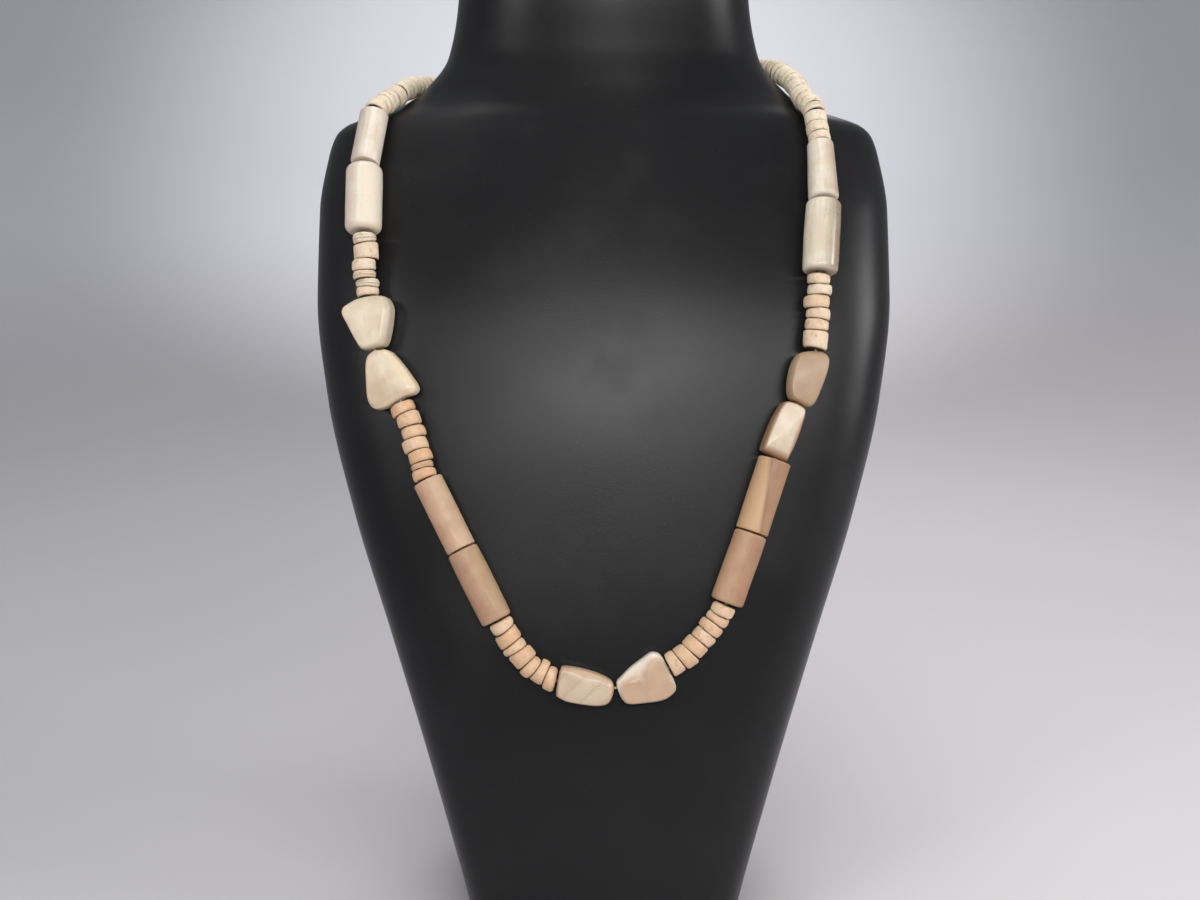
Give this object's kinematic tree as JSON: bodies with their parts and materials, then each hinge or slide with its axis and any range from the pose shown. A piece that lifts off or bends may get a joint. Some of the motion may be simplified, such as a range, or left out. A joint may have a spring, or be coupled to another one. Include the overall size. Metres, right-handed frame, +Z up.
{
  "type": "beaded necklace on a neck bust stand",
  "caption": "Long necklace of pale bone-like tube, slab and wedge beads between rows of thin discs, laid round a plain black neck bust display.",
  "frame": {"origin": "middle of the stand's foot, on the floor", "axes": "+Z up, the chest that the necklace hangs on faces -Y"},
  "size_m": [0.2064, 0.1311, 0.368],
  "materials": {
    "stand": "smooth satin black",
    "disc_bone": "satin, uneven, blotched ochre",
    "tube_bone": "polished, faint grain along the bead",
    "slab_bone": "polished, rounded edges, faint veins",
    "thread": "twisted cord"
  },
  "bodies": {
    "root": {"neck_bust": "stand", "discs_1": "disc_bone", "tube_bead_1": "tube_bone", "tube_bead_2": "tube_bone", "discs_2": "disc_bone", "wedge_bead_1": "slab_bone", "wedge_bead_2": "slab_bone", "discs_3": "disc_bone", "tube_bead_3": "tube_bone", "tube_bead_4": "tube_bone", "discs_4": "disc_bone", "slab_bead_1": "slab_bone", "wedge_bead_3": "slab_bone", "discs_5": "disc_bone", "tube_bead_5": "tube_bone", "tube_bead_6": "tube_bone", "slab_bead_2": "slab_bone", "wedge_bead_4": "slab_bone", "discs_6": "disc_bone", "tube_bead_7": "tube_bone", "tube_bead_8": "tube_bone", "discs_7": "disc_bone", "thread": "thread"}
  },
  "joints": []
}
